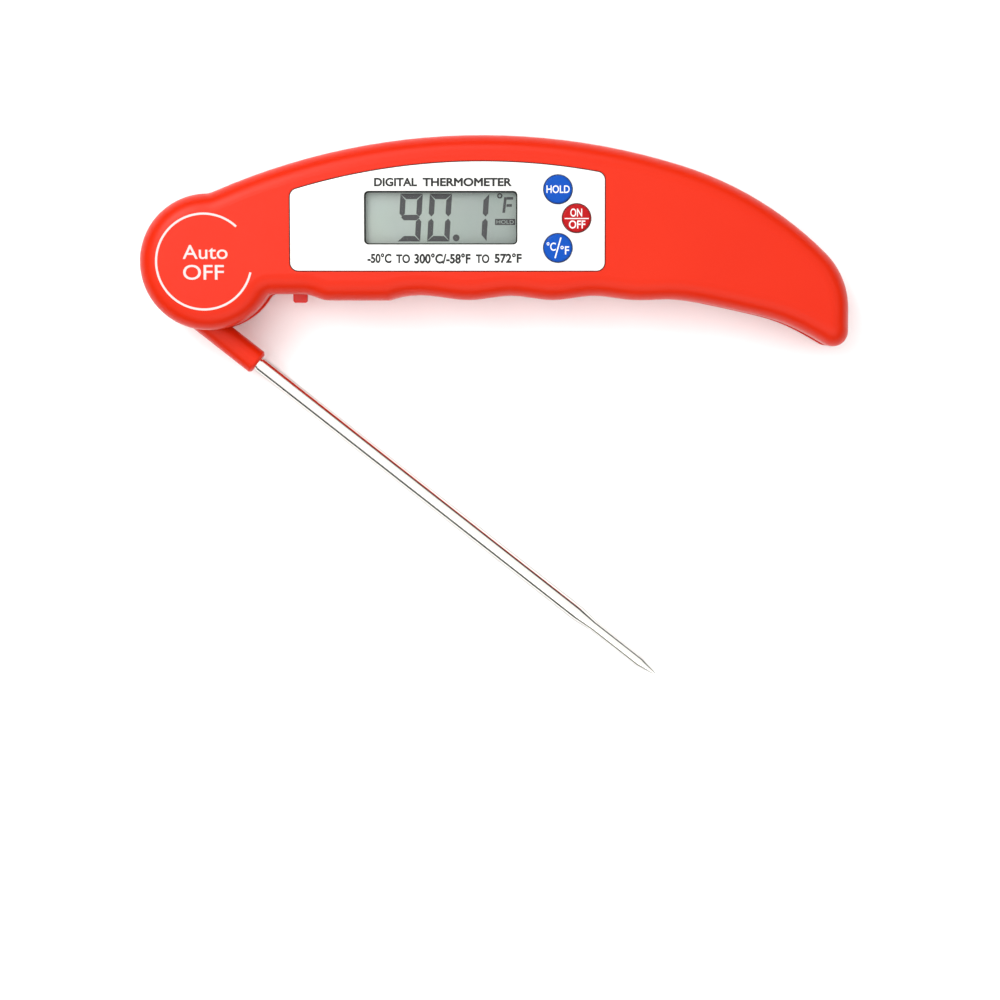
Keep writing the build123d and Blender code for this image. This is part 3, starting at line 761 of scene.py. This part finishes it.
# fine turning lines, 0.1 mm apart, drawn at 0.2 mm
lines_made = add_node(
    tree,
    "ShaderNodeTexWave",
    {"Scale": 1 / 0.0002 / 6.28, "Distortion": 0.5},
    {"Vector": place.outputs["Object"]},
    bands_direction="Y",
)
add_bump(tree, shader, lines_made, 0.15, 0.00002)
ease("auto_off_plunger", 0.00012, acetal_red, "auto_off_pin", angle=50)


# ---- Probe arm ----
# The hub between the two shells and the barrel that grips the steel tube, moulded
# in one piece in the same red ABS, with a cover snapped in from below.
ease("probe_arm", 0.00018, red_abs, "probe", segments=3, angle=40)
paint(red_abs, "hub_cover")


# ---- Probe tube ----
# Drawn stainless steel, 3.5 mm, swaged down to a thinner tip and ground to a
# point. It is bright, with faint lines along it from drawing and polishing.
turn = 38.2
stainless, tree, shader = new_finish(
    "drawn_stainless_tube", "#F2F0EB", Metallic=1.0, Roughness=0.16
)
# painted reflection: a dark brown edge tint darkens the tube's very edges, where light glances off it
shader.inputs["Specular Tint"].default_value = linear("#3A322E")
place = add_node(tree, "ShaderNodeTexCoord")
along = add_node(
    tree,
    "ShaderNodeMapping",
    {"Rotation": (0, 0, math.radians(turn)), "Scale": (1 / 0.012, 1 / 0.0001, 1 / 0.0001)},
    {"Vector": place.outputs["Object"]},
)
draw = add_node(
    tree,
    "ShaderNodeTexNoise",
    {"Scale": 1.0, "Detail": 3.0, "Roughness": 0.6},
    {"Vector": along.outputs["Vector"]},
)
gloss = add_node(
    tree,
    "ShaderNodeMapRange",
    {"From Min": 0.3, "From Max": 0.7, "To Min": 0.10, "To Max": 0.24},
    {"Value": draw.outputs["Fac"]},
)
tree.links.new(gloss.outputs["Result"], shader.inputs["Roughness"])
add_bump(tree, shader, draw, 0.08, 0.00001)
paint(stainless, "probe_tube")


# ---- Back: battery door and screws ----
# The door is a red ABS disc with a coin slot, turned to lock. Five zinc plated
# cross head screws sit deep in the back.
ease("battery_door", 0.00015, red_abs, "door", angle=40)

zinc, tree, shader = new_finish("zinc_plated_steel", "#C6C9CC", Metallic=1.0, Roughness=0.35)
place = add_node(tree, "ShaderNodeTexCoord")
# plating blooms: patches about 0.5 mm across that take the light differently
bloom = add_node(
    tree,
    "ShaderNodeTexVoronoi",
    {"Scale": 1 / 0.0005},
    {"Vector": place.outputs["Object"]},
)
gloss = add_node(
    tree,
    "ShaderNodeMapRange",
    {"To Min": 0.25, "To Max": 0.5},
    {"Value": bloom.outputs["Distance"]},
)
tree.links.new(gloss.outputs["Result"], shader.inputs["Roughness"])
paint(zinc, "case_screws", "board_screws")


# ---- Inside ----
# What the closed case hides: board, switches, cell, contacts, seals and leads.
# solder mask over glass epoxy: green, glossy, with the weave just showing at 0.5 mm
paint(plain_finish("green_solder_mask", "#14582F", 0.0005, 0.1, Roughness=0.35), "circuit_board")
# moulded thermoset and phenolic blacks
black_moulding = plain_finish("black_moulded_case", "#17181A", 0.0003, 0.15, Roughness=0.5)
paint(black_moulding, "lcd_frame", "board_components", "key_switches", "auto_off_switch")
paint(plain_finish("black_glob_epoxy", "#101011", 0.002, 0.1, Roughness=0.2), "processor_blob")
paint(plain_finish("zebra_silicone", "#5A5A60", 0.0002, 0.2, Roughness=0.7), "lcd_connector")
nickel = plain_finish("nickel_plated_steel", "#CFCBC4", 0.001, 0.03, Metallic=1.0, Roughness=0.2)
paint(nickel, "battery_cell", "negative_contact", "positive_contact", "pivot_clip")
rubber = plain_finish("nitrile_rubber", "#161616", 0.0002, 0.2, Roughness=0.75)
paint(rubber, "battery_door_seal", "pivot_seal")
paint(plain_finish("white_acetal", "#E9E7E1", 0.0004, 0.1, Roughness=0.45), "friction_washer")
jacket = plain_finish("white_pvc_jacket", "#E6E4DF", 0.0008, 0.1, Roughness=0.5)
paint(jacket, "probe_lead", "sensor_lead")
paint(plain_finish("glass_bead", "#2B2118", 0.0005, 0.05, Roughness=0.1), "thermistor_bead")
paint(plain_finish("thermal_epoxy", "#8C7355", 0.0005, 0.1, Roughness=0.6), "tip_potting")

visual_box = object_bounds()
sizes = {"cad": cad_box, "visual": visual_box}
sizes = {name: [[float(v) for v in corner] for corner in box] for name, box in sizes.items()}
